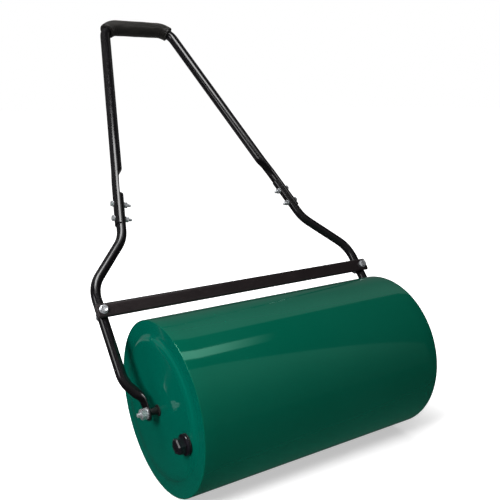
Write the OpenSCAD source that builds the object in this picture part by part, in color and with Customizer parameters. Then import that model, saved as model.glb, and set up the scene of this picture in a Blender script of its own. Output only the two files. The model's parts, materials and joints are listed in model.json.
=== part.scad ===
// Water-filled lawn roller. A sheet steel drum turns on a through axle, and a
// bent tube handle, which lies in one leaning plane through the axle, pushes it.
// X runs along the axle, Y points to the rear where the handle leans, Z is up.
// The origin is on the ground, under the middle of the roller's bounding box.

/* [Drum] */
// Outer diameter of the drum
drum_d = 320; // [300:5:340]
// Length of the drum from rim to rim
drum_l = 525; // [500:5:560]
// Thickness of the shell sheet
shell_t = 1.5; // [1:0.5:2.5]
// Thickness of the end disc sheet
disc_t = 2; // [1.5:0.5:3]
// Radius where the raised centre panel of an end disc begins
panel_r = 125; // [122:1:130]
// How far the centre panel stands out from the flat outer ring
panel_rise = 4; // [2:0.5:5]

/* [Axle] */
// Diameter of the axle rod
axle_d = 10; // [8:1:10]
// Diameter of the plain pilot at each end of the axle rod
axle_pilot_d = 8.2; // [6.5:0.1:8.5]
// Outer diameter of the axle sleeve that is welded through the drum
sleeve_d = 22; // [20:1:24]
// Outer diameter of the spacers between the drum and the arms
spacer_d = 13; // [12.5:0.5:15]
// Width of the axle nuts across their flats
axle_nut_af = 17; // [16:1:18]

/* [Filler] */
// Distance of the filler from the axle
filler_r = 106; // [100:1:106]
// Direction of the filler from the axle, in degrees from the rear
filler_angle = 190; // [170:1:200]
// Diameter of the plug's round flange
plug_flange_d = 37; // [35:1:37]
// Diameter of the plug's threaded shank
plug_thread_d = 28; // [26:1:29]
// Width of the plug's hexagon across its flats
plug_af = 26; // [22:1:28]

/* [Handle] */
// Lean of the handle plane above the horizontal, in degrees
lean = 48.4; // [40:0.1:60]
// Outer diameter of the upper handle tube
upper_d = 22; // [21.5:0.5:24]
// Outer diameter of the lower arm tubes
lower_d = 19; // [18:0.5:19]
// Wall thickness of all handle tubes
tube_t = 1.2; // [1:0.1:1.5]
// Distance from the axle up to the top bar, along the handle plane
grip_v = 891; // [800:1:950]
// Half of the distance between the two top corners
corner_u = 78.5; // [75:0.5:95]
// Bend radius at the top corners
corner_bend = 38; // [36:1:45]
// Outer diameter of the foam grip
grip_d = 34; // [30:1:38]

/* [Arms] */
// Half distance between the arms at their upper bend
knee_u = 217.6; // [210:0.1:225]
// Height of the upper bend above the axle, along the handle plane
knee_v = 346; // [340:1:355]
// Half distance between the arms at their outermost bend
hip_u = 305.5; // [304:0.1:309]
// Height of the outermost bend, along the handle plane
hip_v = 254; // [250:1:260]
// Half distance between the arms above the inward jog
jog_u = 309.5; // [308.5:0.1:312]
// Height of the jog, along the handle plane
jog_v = 64; // [62:1:68]
// Half distance between the middles of the flattened arm ends
foot_u = 286.3; // [285:0.1:288]
// Height where an arm turns parallel to the drum's end
foot_v = 29; // [28:1:30]
// Bend radius of the two upper bends
arm_bend = 70; // [55:1:70]
// Bend radius of the jog
jog_bend = 50; // [40:1:50]
// Thickness of a flattened arm end
foot_t = 3; // [2.4:0.1:3]
// Width of a flattened arm end
foot_w = 29; // [27:1:30]

/* [Crossbar] */
// Height of the crossbar above the axle, along the handle plane
bar_v = 199; // [190:1:205]
// Width of the crossbar
bar_w = 28; // [24:1:30]
// Thickness of the crossbar
bar_t = 8; // [6:1:10]
// Half length of the crossbar
bar_u = 318; // [316:1:318]

/* [Hidden] */
$fn = 72;

drum_r = drum_d / 2;
shell_in_r = drum_r - shell_t;
ring_x = drum_l / 2 - 0.5;           // outer face of an end disc's flat ring
panel_x = ring_x + panel_rise;       // outer face of its centre panel
panel_slope = 6;                     // radial width of the step to the panel
slope_steps = 8;

thread_gap = 0.05;                   // radial clearance of nuts and bores
bush_flange_r = 10.5;
bush_flange_t = 2;
bush_depth = 24;
run_gap = 0.5;                       // end play between bush and spacer
sleeve_in_r = sleeve_d / 2 - 2;
foot_in_x = foot_u - foot_t / 2;     // inner face of a flattened arm end
foot_out_x = foot_u + foot_t / 2;
axle_washer_t = 2;
axle_nut_h = 10;
axle_end = 6;                        // free end outside each nut
axle_pilot_l = 5;                    // how much of it is the plain pilot

neck_wall = 2;
neck_depth = 18;
seal_t = 3;
flange_t = 4;
plug_hex_h = 14;
plug_thread_l = 10;                  // engaged length of the thread

// The leg of the handle runs straight from the top corner to the upper bend.
// Lengths along it are counted upwards from that bend.
leg_tilt = atan2(knee_u - corner_u, grip_v - knee_v);
leg_l = norm([knee_u - corner_u, grip_v - knee_v]);
shoe_start = 31;                     // lower end of the half-moon shell
shoe_cut = 128;                      // lower end of the slanted cut
shoe_full = 166;                     // from here up the tube is round
arm_top = 104;                       // upper end of a lower arm
joint_at = [46, 80];                 // the two joint bolts
shoe_gap = 0.15;
crimp_lap = 8;                       // how far the pressed walls run below the cut
shoe_in_r = lower_d / 2 + shoe_gap;
shoe_out_r = shoe_in_r + 2 * tube_t;
grip_cover = 0.62;                   // share of each corner bend under foam

joint_bolt_d = 6;
joint_washer_t = 1.2;
joint_nut_h = 5;
bar_bolt_d = 8;
bar_washer_t = 1.6;
bar_nut_h = 6.5;
bar_wall = 1.5;
hole_gap = 0.25;
bend_swell = 0.1;
bend_lap = 1;

// The roller's rearmost point is on the foam grip, its foremost on the drum.
axle_y = (drum_r - grip_v * cos(lean) - grip_d / 2) / 2;

// ---- placement helpers ----

module at_axle() { translate([0, axle_y, drum_r]) children(); }

// Children are drawn with X across, Y up the handle plane, Z towards its front.
module in_handle_plane() { at_axle() rotate([lean, 0, 0]) children(); }

module both_sides() {
    children();
    mirror([1, 0, 0]) children();
}

// Children are drawn on the right leg, Y up the leg from its lower bend and
// X outwards.
module on_leg() {
    translate([knee_u, knee_v, 0]) rotate([0, 0, leg_tilt]) children();
}

// Turns a shape drawn along +Z so that it lies along +X.
module along_x() { rotate([0, 90, 0]) children(); }

// ---- tubes ----

function heading(a, b) = atan2(b[1] - a[1], b[0] - a[0]);
function wrap(t) = t > 180 ? t - 360 : t < -180 ? t + 360 : t;
function turn(a, b, c) = wrap(heading(b, c) - heading(a, b));
function unit_to(a, b) = (b - a) / norm(b - a);
function setback(path, bends, i) =
    i == 0 || i == len(path) - 1 ? 0
    : bends[i] * tan(abs(turn(path[i - 1], path[i], path[i + 1])) / 2);

// One bend of a rod about the vertex b, between the points a and c.
module rod_bend(a, b, c, bend_r, rod_r) {
    t = turn(a, b, c);
    side = t > 0 ? 1 : -1;
    h = heading(a, b);
    start = b - unit_to(a, b) * bend_r * tan(abs(t) / 2);
    centre = start + bend_r * side * [-sin(h), cos(h)];
    from = h - 90 * side + (t > 0 ? 0 : t);
    translate(centre) rotate([0, 0, from])
        rotate_extrude(angle = abs(t)) translate([bend_r, 0])
            circle(rod_r + bend_swell);
}

// A round rod along a flat path, with a bend radius at every inner vertex.
// Straight stretches reach a little way into the bends, which are a hair
// thicker. grow lengthens both ends.
module bent_rod(path, bends, rod_r, grow = 0) {
    last = len(path) - 1;
    for (i = [0 : last - 1]) {
        a = path[i];
        b = path[i + 1];
        from = i == 0 ? -grow : setback(path, bends, i) - bend_lap;
        to = norm(b - a)
            + (i == last - 1 ? grow : bend_lap - setback(path, bends, i + 1));
        translate(a + unit_to(a, b) * from) rotate([0, 0, heading(a, b)])
            along_x() cylinder(h = to - from, r = rod_r);
    }
    for (i = [1 : 1 : last - 1])
        rod_bend(path[i - 1], path[i], path[i + 1], bends[i], rod_r);
}

module bent_tube(path, bends, rod_r) {
    difference() {
        bent_rod(path, bends, rod_r);
        bent_rod(path, bends, rod_r - tube_t, 1);
    }
}

// ---- handle ----

function leg_point(s) = [knee_u - s * sin(leg_tilt), knee_v + s * cos(leg_tilt)];
function flip(p) = [-p[0], p[1]];

module leg_holes(r) {
    on_leg() for (s = joint_at)
        translate([-shoe_out_r - 1, s, 0]) along_x()
            cylinder(h = 2 * shoe_out_r + 2, r = r);
}

// Half-moon shell that lies round the outer half of a lower arm's tube.
module shoe() {
    on_leg() difference() {
        translate([0, shoe_start, 0]) rotate([-90, 0, 0])
            cylinder(h = shoe_full - shoe_start, r = shoe_out_r);
        translate([0, shoe_start - 1, 0]) rotate([-90, 0, 0])
            cylinder(h = shoe_full - shoe_start + 2, r = shoe_in_r);
        translate([-2 * shoe_out_r + 1, shoe_start - 1, -shoe_out_r - 1])
            cube([2 * shoe_out_r, shoe_full - shoe_start + 2, 2 * shoe_out_r + 2]);
    }
}

// Wedge that opens the inner side of the tube where it is pressed flat.
module shoe_wedge() {
    slope = atan2(upper_d / 2, shoe_full - shoe_cut);
    on_leg() translate([0, shoe_cut, 0]) rotate([0, 0, slope])
        translate([-2 * upper_d, -2 * upper_d, -upper_d])
            cube([2 * upper_d, 4 * upper_d, 2 * upper_d]);
}

// The walls pressed together where the tube turns into its half-moon end.
module crimp_core() {
    on_leg() translate([0, shoe_cut - crimp_lap, 0]) rotate([-90, 0, 0])
        cylinder(h = shoe_full - shoe_cut + crimp_lap, r = upper_d / 2 - tube_t / 2);
}

module upper_handle() {
    top = [corner_u, grip_v];
    low = leg_point(shoe_cut - crimp_lap);
    path = [low, top, flip(top), flip(low)];
    color([0.06, 0.06, 0.07]) in_handle_plane() difference() {
        union() {
            difference() {
                union() {
                    bent_tube(path, [0, corner_bend, corner_bend, 0], upper_d / 2);
                    both_sides() crimp_core();
                }
                both_sides() shoe_wedge();
            }
            both_sides() shoe();
        }
        both_sides() leg_holes(joint_bolt_d / 2 + hole_gap);
    }
}

module grip_bends(r) {
    angle = 90 - leg_tilt;
    back = corner_bend * tan(angle / 2);
    both_sides() translate([corner_u - back, grip_v - corner_bend, 0])
        rotate([0, 0, 90 - grip_cover * angle])
            rotate_extrude(angle = grip_cover * angle)
                translate([corner_bend, 0]) circle(r + bend_swell);
    half = corner_u - back + bend_lap;
    translate([-half, grip_v, 0]) along_x() cylinder(h = 2 * half, r = r);
}

module foam_grip() {
    color([0.16, 0.16, 0.16]) in_handle_plane() difference() {
        grip_bends(grip_d / 2);
        in_grip_bore();
    }
}

// The bore of the foam follows the whole corner, so that it is open at both ends.
module in_grip_bore() {
    top = [corner_u, grip_v];
    path = [leg_point(leg_l - 60), top, flip(top), flip(leg_point(leg_l - 60))];
    bent_rod(path, [0, corner_bend, corner_bend, 0], upper_d / 2 + thread_gap);
}

// Lower arm on the right-hand side: round tube, then a flattened drilled end.
module lower_arm() {
    knee = [knee_u, knee_v];
    hip = [hip_u, hip_v];
    jog = [jog_u, jog_v];
    foot = [foot_u, foot_v];
    flat_from = norm(foot - jog) - 10;
    tube_end = jog + unit_to(jog, foot) * flat_from;
    path = [leg_point(arm_top), knee, hip, jog, tube_end];
    bends = [0, arm_bend, arm_bend, jog_bend, 0];
    difference() {
        union() {
            bent_tube(path, bends, lower_d / 2);
            hull() {
                translate(tube_end - 2 * unit_to(jog, foot))
                    rotate([0, 0, heading(jog, foot)]) along_x()
                        cylinder(h = 3, r = lower_d / 2 - 0.1, $fn = 32);
                translate([foot_in_x, foot_w / 2 - 1, -foot_w / 2])
                    cube([foot_t, 1, foot_w]);
            }
            translate([foot_in_x, 0, 0]) along_x() cylinder(h = foot_t, r = foot_w / 2);
            translate([foot_in_x, 0, -foot_w / 2]) cube([foot_t, foot_w / 2, foot_w]);
        }
        translate([foot_in_x - 1, 0, 0]) along_x()
            cylinder(h = foot_t + 2, r = axle_d / 2 + hole_gap);
        leg_holes(joint_bolt_d / 2 + hole_gap);
        bar_hole(-lower_d, lower_d);
    }
}

module bar_hole(from, to) {
    translate([bar_bolt_u, bar_v, from])
        cylinder(h = to - from, r = bar_bolt_d / 2 + hole_gap);
}

module lower_arm_left() {
    color([0.06, 0.06, 0.07]) in_handle_plane() mirror([1, 0, 0]) lower_arm();
}

module lower_arm_right() {
    color([0.06, 0.06, 0.07]) in_handle_plane() lower_arm();
}

// ---- crossbar ----

// Place of the bar bolts, on the middle line of the arm at the bar's height.
bar_bolt_u = jog_u + (hip_u - jog_u) * (bar_v - jog_v) / (hip_v - jog_v);
bar_back = lower_d / 2;
bar_front = bar_back + bar_t;

module bar_profile(shrink) {
    r = bar_t / 2 - shrink;
    straight = bar_w - bar_t;
    translate([-straight / 2, -r]) square([straight, 2 * r]);
    for (x = [-1, 1]) translate([x * straight / 2, 0]) circle(r);
}

module bar_solid(half, shrink) {
    translate([-half, bar_v, (bar_back + bar_front) / 2]) rotate([90, 0, 90])
        linear_extrude(height = 2 * half) bar_profile(shrink);
}

module crossbar() {
    color([0.12, 0.12, 0.13]) in_handle_plane() difference() {
        bar_solid(bar_u, 0);
        bar_solid(bar_u + 1, bar_wall);
        both_sides() bar_hole(bar_back - 1, bar_front + 1);
    }
}

module crossbar_bolts() {
    r = bar_bolt_d / 2;
    end = -bar_back - bar_washer_t - bar_nut_h - 3;
    head = bar_front + bar_washer_t;
    color([0.82, 0.82, 0.82]) in_handle_plane() both_sides()
        translate([bar_bolt_u, bar_v, 0]) {
            translate([0, 0, end]) cylinder(h = head - end, r = r);
            translate([0, 0, head]) hex_prism(13, 5.3);
        }
}

module crossbar_washers() {
    color([0.82, 0.82, 0.82]) in_handle_plane() both_sides()
        translate([bar_bolt_u, bar_v, 0])
            for (z = [bar_front, -bar_back - bar_washer_t])
                translate([0, 0, z]) washer(16.5, bar_bolt_d, bar_washer_t);
}

module crossbar_nuts() {
    color([0.82, 0.82, 0.82]) in_handle_plane() both_sides()
        translate([bar_bolt_u, bar_v, -bar_back - bar_washer_t - bar_nut_h])
            nut(13, bar_bolt_d, bar_nut_h);
}

// ---- fasteners ----

module hex_prism(af, h) { cylinder(h = h, r = af / sqrt(3), $fn = 6); }

module nut(af, d, h) {
    difference() {
        hex_prism(af, h);
        translate([0, 0, -1]) cylinder(h = h + 2, r = d / 2 + thread_gap);
    }
}

module washer(outer, d, h) {
    difference() {
        cylinder(h = h, r = outer / 2);
        translate([0, 0, -1]) cylinder(h = h + 2, r = d / 2 + hole_gap);
    }
}

// Puts children, drawn along +Z, on the joint bolts' axes, pointing outwards.
module at_joint_bolts() {
    both_sides() on_leg() for (s = joint_at)
        translate([0, s, 0]) along_x() children();
}

joint_out = shoe_out_r + joint_washer_t;
joint_in = -lower_d / 2 - joint_washer_t;

module joint_bolts() {
    end = joint_in - joint_nut_h - 7;
    color([0.82, 0.82, 0.82]) in_handle_plane() at_joint_bolts() {
        translate([0, 0, end]) cylinder(h = joint_out - end, r = joint_bolt_d / 2);
        translate([0, 0, joint_out]) hex_prism(10, 4);
    }
}

module joint_washers() {
    color([0.82, 0.82, 0.82]) in_handle_plane() at_joint_bolts()
        for (z = [joint_out - joint_washer_t, joint_in])
            translate([0, 0, z]) washer(12, joint_bolt_d, joint_washer_t);
}

module joint_nuts() {
    color([0.82, 0.82, 0.82]) in_handle_plane() at_joint_bolts()
        translate([0, 0, joint_in - joint_nut_h]) nut(10, joint_bolt_d, joint_nut_h);
}

// ---- axle ----

axle_half = foot_out_x + axle_washer_t + axle_nut_h + axle_end;

module axle_rod() {
    threaded = axle_half - axle_pilot_l;
    color([0.7, 0.7, 0.72]) at_axle() along_x() {
        translate([0, 0, -threaded]) cylinder(h = 2 * threaded, r = axle_d / 2);
        translate([0, 0, -axle_half]) cylinder(h = 2 * axle_half, r = axle_pilot_d / 2);
    }
}

module axle_spacers() {
    from = panel_x + bush_flange_t + run_gap;
    color([0.05, 0.05, 0.05]) at_axle() both_sides() translate([from, 0, 0])
        along_x() washer(spacer_d, axle_d, foot_in_x - from);
}

module axle_washers() {
    color([0.82, 0.82, 0.82]) at_axle() both_sides() translate([foot_out_x, 0, 0])
        along_x() washer(20, axle_d, axle_washer_t);
}

module axle_nuts() {
    color([0.82, 0.82, 0.82]) at_axle() both_sides()
        translate([foot_out_x + axle_washer_t, 0, 0])
            along_x() nut(axle_nut_af, axle_d, axle_nut_h);
}

// ---- drum ----

module drum_shell() {
    color([0.02, 0.36, 0.28]) at_axle() translate([-drum_l / 2, 0, 0]) along_x()
        difference() {
            cylinder(h = drum_l, r = drum_r);
            translate([0, 0, -1]) cylinder(h = drum_l + 2, r = shell_in_r);
        }
}

// Half section of an end disc: the outer face's line, then the same line moved
// inwards by the sheet's thickness.
function panel_line(x) = [for (i = [0 : slope_steps])
    [panel_r + panel_slope * i / slope_steps,
     x - panel_rise * (1 - cos(180 * i / slope_steps)) / 2]];
function disc_face(x) = concat([[sleeve_d / 2, x]], panel_line(x),
                               [[shell_in_r, x - panel_rise]]);
function reversed(list) = [for (i = [len(list) - 1 : -1 : 0]) list[i]];

module end_disc() {
    along_x() rotate_extrude()
        polygon(concat(disc_face(panel_x), reversed(disc_face(panel_x - disc_t))));
}

// Places children at the filler in the left disc, drawn along +Z outwards from
// the centre panel's face.
module at_filler() {
    at_axle() translate([-panel_x, filler_r * cos(filler_angle),
                         filler_r * sin(filler_angle)])
        rotate([0, -90, 0]) children();
}

module drum_end_left() {
    color([0.02, 0.38, 0.3]) difference() {
        at_axle() mirror([1, 0, 0]) end_disc();
        at_filler() translate([0, 0, -panel_rise - disc_t])
            cylinder(h = panel_rise + disc_t + 1, r = neck_out_r);
    }
}

module drum_end_right() {
    color([0.02, 0.38, 0.3]) at_axle() end_disc();
}

module axle_sleeve() {
    color([0.02, 0.36, 0.28]) at_axle() translate([-panel_x, 0, 0]) along_x()
        difference() {
            cylinder(h = 2 * panel_x, r = sleeve_d / 2);
            translate([0, 0, -1]) cylinder(h = 2 * panel_x + 2, r = sleeve_in_r);
        }
}

// Flanged bush, pressed into the right-hand end of the axle sleeve.
module bearing_bush() {
    translate([panel_x - bush_depth, 0, 0]) along_x() difference() {
        union() {
            cylinder(h = bush_depth, r = sleeve_in_r);
            translate([0, 0, bush_depth]) cylinder(h = bush_flange_t, r = bush_flange_r);
        }
        translate([0, 0, -1])
            cylinder(h = bush_depth + bush_flange_t + 2, r = axle_d / 2 + thread_gap);
    }
}

module bearing_bush_left() {
    color([0.05, 0.05, 0.05]) at_axle() mirror([1, 0, 0]) bearing_bush();
}

module bearing_bush_right() {
    color([0.05, 0.05, 0.05]) at_axle() bearing_bush();
}

// ---- filler ----

neck_out_r = plug_thread_d / 2 + neck_wall;

module filler_neck() {
    color([0.02, 0.36, 0.28]) at_filler() translate([0, 0, -neck_depth])
        difference() {
            cylinder(h = neck_depth, r = neck_out_r);
            translate([0, 0, -1])
                cylinder(h = neck_depth + 2, r = plug_thread_d / 2 + thread_gap);
        }
}

module plug_seal() {
    color([0.03, 0.03, 0.03]) at_filler()
        washer(plug_flange_d, plug_thread_d, seal_t);
}

module filler_plug() {
    shank = seal_t + plug_thread_l;
    color([0.06, 0.06, 0.06]) at_filler() {
        translate([0, 0, -plug_thread_l]) cylinder(h = shank, r = plug_thread_d / 2);
        translate([0, 0, seal_t]) cylinder(h = flange_t, r = plug_flange_d / 2);
        translate([0, 0, seal_t + flange_t]) hex_prism(plug_af, plug_hex_h);
    }
}

upper_handle();
foam_grip();
lower_arm_left();
lower_arm_right();
crossbar();
crossbar_bolts();
crossbar_washers();
crossbar_nuts();
joint_bolts();
joint_washers();
joint_nuts();
axle_rod();
axle_spacers();
axle_washers();
axle_nuts();
drum_shell();
drum_end_left();
drum_end_right();
axle_sleeve();
bearing_bush_left();
bearing_bush_right();
filler_neck();
plug_seal();
filler_plug();
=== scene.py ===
"""Looks of a water-filled lawn roller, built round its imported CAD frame.

Lengths in this file are millimetres unless a name says otherwise; mesh points are
turned into metres where they are placed. X runs along the axle and the handle lies in
one leaning plane: U across it, V up it, N out of its front.
"""
import json
import math

import bmesh
import bpy
from mathutils import Matrix, Vector, noise


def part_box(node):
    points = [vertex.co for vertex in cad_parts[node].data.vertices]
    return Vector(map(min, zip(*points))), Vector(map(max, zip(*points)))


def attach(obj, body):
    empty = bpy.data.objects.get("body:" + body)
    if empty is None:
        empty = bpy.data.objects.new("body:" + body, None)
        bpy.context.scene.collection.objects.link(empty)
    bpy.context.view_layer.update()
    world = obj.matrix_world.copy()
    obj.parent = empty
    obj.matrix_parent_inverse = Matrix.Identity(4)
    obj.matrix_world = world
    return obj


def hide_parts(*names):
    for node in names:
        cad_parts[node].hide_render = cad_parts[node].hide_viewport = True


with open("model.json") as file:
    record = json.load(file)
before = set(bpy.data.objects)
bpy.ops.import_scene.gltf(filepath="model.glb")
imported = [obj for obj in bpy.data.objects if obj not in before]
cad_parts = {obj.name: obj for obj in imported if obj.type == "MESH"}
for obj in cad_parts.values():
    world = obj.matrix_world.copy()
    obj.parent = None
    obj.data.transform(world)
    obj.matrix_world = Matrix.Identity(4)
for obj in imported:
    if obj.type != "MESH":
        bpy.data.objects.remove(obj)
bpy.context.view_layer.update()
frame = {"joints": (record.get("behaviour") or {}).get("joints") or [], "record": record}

# ---------------------------------------------------------------- driving sizes
MM = 0.001
TAU = 2 * math.pi

LEAN = math.radians(48.4)            # of the handle plane above the ground
UPPER_R = 11.0                       # upper handle tube
LOWER_R = 9.5                        # lower arm tubes
TUBE_WALL = 1.2
GRIP_R = 17.0
CORNER = (78.5, 891.0)               # (U, V) of a top corner, before its bend
KNEE = (217.6, 346.0)
HIP = (305.5, 254.0)
JOG = (309.5, 64.0)
FOOT = (286.3, 29.0)
CORNER_BEND = 38.0
ARM_BEND = 70.0
JOG_BEND = 50.0
FOOT_BEND = 20.0
FOOT_T = 3.0                         # flattened arm end
FOOT_W = 29.0
SHOE = (31.0, 128.0, 166.0)          # half-moon's lower end, crimp's low and high end
SHOE_IN_R = 9.65
SHOE_OUT_R = 12.05
SHOE_SPREAD = math.radians(84)       # half of the angle that the half-moon spans
ARM_TOP = 104.0
JOINT_AT = (46.0, 80.0)
BAR_V = 199.0
BAR_W = 28.0
BAR_T = 8.0
BAR_HALF = 318.0
BAR_WALL = 1.5
GRIP_COVER = 0.62

PILOT_R = 4.1                        # plain ends of the axle rod
PILOT_L = 5.0
AXLE_HALF = 305.8
SHELL_T = 1.5
DISC_T = 2.0
PANEL_R = 125.0
PANEL_SLOPE = 6.0
PANEL_RISE = 4.0
SLEEVE_R = 11.0
FILLER_R = 106.0
FILLER_ANGLE = math.radians(190)
PLUG_R = 14.0
PLUG_FLANGE_R = 18.5
NECK_R = 16.0
PLUG_PITCH = 2.5
PLUG_HEX = 26.0                      # across the flats of the plug's head
BUSH_BORE_R = 5.05
EASE = 0.25                          # broken edges of small metal parts
CROWN = 0.475                        # radius of a head's flat top, of its width across flats
THREAD_DEPTH = 0.6                   # of the pitch
HARD_EDGE = math.radians(35)         # edges sharper than this are not shaded smooth



class Screw:
    """A screw's thread, its width across flats, its head, nut and washer, and its hole."""

    def __init__(self, radius, pitch, across, head, nut, washer_r, washer_t, hole_r):
        self.radius = radius
        self.pitch = pitch
        self.across = across
        self.head = head
        self.nut = nut
        self.washer_r = washer_r
        self.washer_t = washer_t
        self.hole_r = hole_r


M6 = Screw(3.0, 1.0, 10, 4.0, 5.0, 6.0, 1.2, 3.25)        # joints of the handle
M8 = Screw(4.0, 1.25, 13, 5.3, 6.5, 8.25, 1.6, 4.25)      # crossbar
M10 = Screw(5.0, 1.5, 17, 0.0, 10.0, 10.0, 2.0, 5.25)     # axle, which has no head

BODY_OF = {n: b for b, names in frame["record"]["behaviour"]["bodies"].items() for n in names}

AXLE = Vector(frame["joints"][0]["pos_m"])
shell_low, shell_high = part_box("drum_shell")
DRUM_R = (shell_high.z - shell_low.z) / 2 / MM
DRUM_HALF = (shell_high.x - shell_low.x) / 2 / MM
RING_X = DRUM_HALF - 0.5             # the ring sits just inside the shell's end
PANEL_X = RING_X + PANEL_RISE
FOOT_OUT_X = FOOT[0] + FOOT_T / 2
FOOT_IN_X = FOOT[0] - FOOT_T / 2

ACROSS = Vector((1, 0, 0))
UP_PLANE = Vector((0, math.cos(LEAN), math.sin(LEAN)))
FRONT = Vector((0, -math.sin(LEAN), math.cos(LEAN)))
LEG_TILT = math.atan2(KNEE[0] - CORNER[0], CORNER[1] - KNEE[1])
LEG_LENGTH = math.hypot(KNEE[0] - CORNER[0], CORNER[1] - KNEE[1])


# ---------------------------------------------------------------- placing
def on_axle(x, y, z):
    """A point measured from the drum's centre, in the row frame's directions."""
    return AXLE + Vector((x, y, z)) * MM


def on_plane(u, v, n=0.0):
    return AXLE + (ACROSS * u + UP_PLANE * v + FRONT * n) * MM


def leg_point(s):
    """(U, V) on the right leg, s above its lower bend."""
    return Vector((KNEE[0] - s * math.sin(LEG_TILT), KNEE[1] + s * math.cos(LEG_TILT)))


def axes_matrix(origin, z_axis, x_axis):
    """Matrix that puts a part drawn in millimetres, standing on +Z, at origin in metres."""
    z = z_axis.normalized()
    x = (x_axis - z * x_axis.dot(z)).normalized()
    y = z.cross(x)
    turn = Matrix((x, y, z)).transposed().to_4x4()
    return Matrix.Translation(origin) @ turn @ Matrix.Scale(MM, 4)


def filler_matrix():
    centre = on_axle(-PANEL_X, FILLER_R * math.cos(FILLER_ANGLE),
                     FILLER_R * math.sin(FILLER_ANGLE))
    return axes_matrix(centre, -ACROSS, FRONT)


# ---------------------------------------------------------------- mesh tools
def shade(mesh, sharp=HARD_EDGE):
    """Smooth shading that stops at the hard edges."""
    for face in mesh.polygons:
        face.use_smooth = True
    mesh.set_sharp_from_angle(angle=sharp)


def new_piece(name, bm, sharp=HARD_EDGE):
    """Turns a bmesh, in metres, into a smooth-shaded object with its hard edges marked."""
    bmesh.ops.remove_doubles(bm, verts=bm.verts, dist=1e-7)
    bmesh.ops.recalc_face_normals(bm, faces=bm.faces)
    mesh = bpy.data.meshes.new(name)
    bm.to_mesh(mesh)
    bm.free()
    shade(mesh, sharp)
    piece = bpy.data.objects.new(name, mesh)
    bpy.context.scene.collection.objects.link(piece)
    return piece


def add_skin(bm, loops, wrap=False, fans=False):
    """Skins a row of closed loops that have equal numbers of points.

    wrap joins the last loop to the first, and fans closes both ends from their middles.
    """
    rings = [[bm.verts.new(p) for p in loop] for loop in loops]
    count = len(loops[0])
    for a, b in zip(rings, rings[1:] + rings[:1] if wrap else rings[1:]):
        for i in range(count):
            j = (i + 1) % count
            bm.faces.new((a[i], a[j], b[j], b[i]))
    if fans:
        for ring in (rings[0], rings[-1]):
            middle = bm.verts.new(sum((v.co for v in ring), Vector()) / count)
            for i in range(count):
                bm.faces.new((ring[i], ring[(i + 1) % count], middle))
    return rings


def rounded(corners, steps=5):
    """A closed outline with each corner (x, y, radius) turned into an arc."""
    out = []
    count = len(corners)
    for i, (x, y, radius) in enumerate(corners):
        here = Vector((x, y))
        before = Vector(corners[i - 1][:2]) - here
        after = Vector(corners[(i + 1) % count][:2]) - here
        half = before.angle(after) / 2
        back = radius / math.tan(half)
        back = min(back, before.length * 0.49, after.length * 0.49)
        start = here + before.normalized() * back
        end = here + after.normalized() * back
        middle = here + (before.normalized() + after.normalized()).normalized() * (
            back / math.cos(half))
        a = start - middle
        sweep = a.angle_signed(end - middle)
        for k in range(steps + 1):
            t = -sweep * k / steps
            out.append(middle + Vector((a.x * math.cos(t) - a.y * math.sin(t),
                                        a.x * math.sin(t) + a.y * math.cos(t))))
    return out


def lathe(bm, outline, matrix, segments=96):
    """Turns a closed outline of (radius, height) points round +Z."""
    loops = []
    for k in range(segments):
        c = math.cos(TAU * k / segments)
        s = math.sin(TAU * k / segments)
        loops.append([matrix @ Vector((p[0] * c, p[0] * s, p[1])) for p in outline])
    add_skin(bm, loops, wrap=True)


def turned(bm, matrix, rings, wrap=False, points=72):
    """Skins a stack of rings along +Z. A ring is (radius, height), or gives both by angle."""
    loops = []
    for ring in rings:
        loop = []
        for i in range(points):
            angle = TAU * i / points
            r, z = ring(angle) if callable(ring) else ring
            loop.append(matrix @ Vector((r * math.cos(angle), r * math.sin(angle), z)))
        loops.append(loop)
    add_skin(bm, loops, wrap=wrap, fans=not wrap)


def hex_side(af, angle):
    """Distance from a hexagon's middle to its side in the direction angle."""
    sixth = math.pi / 3
    return af / 2 / math.cos((angle % sixth) - sixth / 2)


def hexagon(af, inset, z):
    """A ring in the shape of a hexagon, made smaller by inset."""
    return lambda angle: (hex_side(af, angle) - inset, z)


def hex_rings(af, low, high, cone_low=True):
    """A bolt head's or nut's outside, its corners cut by a 30 degree cone."""
    crown = af * CROWN

    def drop(angle):
        return max(0.0, hex_side(af, angle) - crown) * math.tan(math.radians(30))

    def foot(angle):
        return (crown if cone_low else hex_side(af, angle) - EASE), low

    def wall_low(angle):
        return hex_side(af, angle), low + (drop(angle) if cone_low else EASE)

    def wall_high(angle):
        return hex_side(af, angle), high - drop(angle)

    return [foot, wall_low, wall_high, (crown, high)]


def thread_rings(radius, pitch, low, high, fade_low=0.0, fade_high=0.0):
    """A helical thread. It runs out into the core over the fade lengths."""
    depth = pitch * THREAD_DEPTH
    steps = max(2, round((high - low) / pitch * 8))

    def ring_at(z):
        reach = 1.0
        if fade_low:
            reach = min(reach, (z - low) / fade_low)
        if fade_high:
            reach = min(reach, (high - z) / fade_high)

        def ring(angle):
            phase = (z / pitch - angle / TAU) % 1.0
            ridge = min(1.0, 1.25 * (1 - abs(2 * phase - 1)))
            return radius - depth * (1 - ridge * max(0.0, reach)), z
        return ring
    return [ring_at(low + (high - low) * k / steps) for k in range(steps + 1)]


def washer(bm, matrix, outer, inner, low, high, ease=0.3):
    outline = rounded([(inner, low, ease), (outer, low, ease),
                       (outer, high, ease), (inner, high, ease)], 3)
    lathe(bm, outline, matrix, 64)


def drill(piece, matrix, radius, low, high):
    """Cuts a round hole through a piece."""
    bm = bmesh.new()
    turned(bm, matrix, [(radius, low), (radius, high)], points=48)
    cutter = new_piece("cutter", bm)
    cut = piece.modifiers.new("hole", "BOOLEAN")
    cut.operation = "DIFFERENCE"
    cut.solver = "EXACT"
    cut.object = cutter
    settle(piece)
    bpy.data.objects.remove(cutter)


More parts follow.
